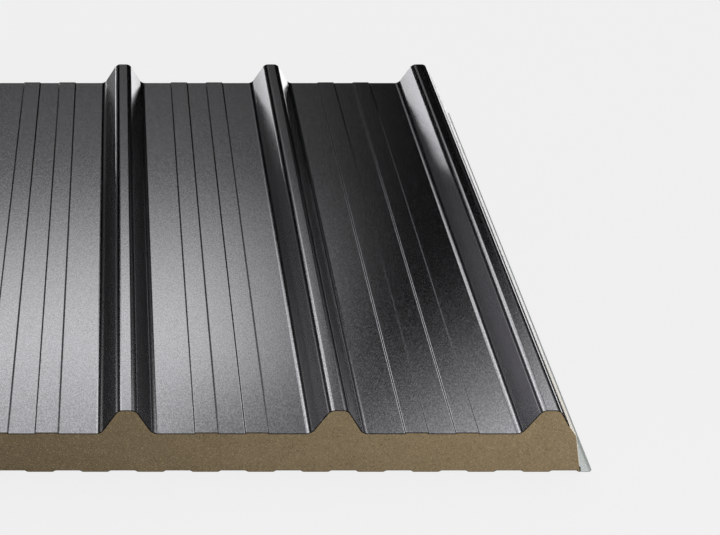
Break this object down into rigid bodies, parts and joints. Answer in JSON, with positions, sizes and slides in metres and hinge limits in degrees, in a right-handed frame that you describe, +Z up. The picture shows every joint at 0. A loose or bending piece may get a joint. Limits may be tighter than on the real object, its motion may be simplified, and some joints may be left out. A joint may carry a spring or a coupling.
{
  "type": "insulated sandwich roof panel",
  "caption": "Insulated roof panel: ribbed dark steel weather sheet, rigid foam core and lightly profiled steel liner, with a free overlap rib and a lipped side joint.",
  "frame": {"origin": "centre of the overall box in plan, at the level of the liner's lowest bands", "axes": "+X across the panel towards the underlap edge, +Y along the ribs, +Z up to the weather side"},
  "size_m": [1.0928, 0.932, 0.0966],
  "materials": {
    "weather_coat": "dark anthracite coil coating, satin, fine grain",
    "rigid_foam": "ochre rigid foam, sawn, matt",
    "liner_coat": "light grey coil coating, satin",
    "edge_film": "thin cream film, satin"
  },
  "bodies": {
    "root": {"outer_sheet": "weather_coat", "insulation_core": "rigid_foam", "inner_sheet": "liner_coat", "side_film_right": "edge_film", "side_film_left": "edge_film"}
  },
  "joints": []
}
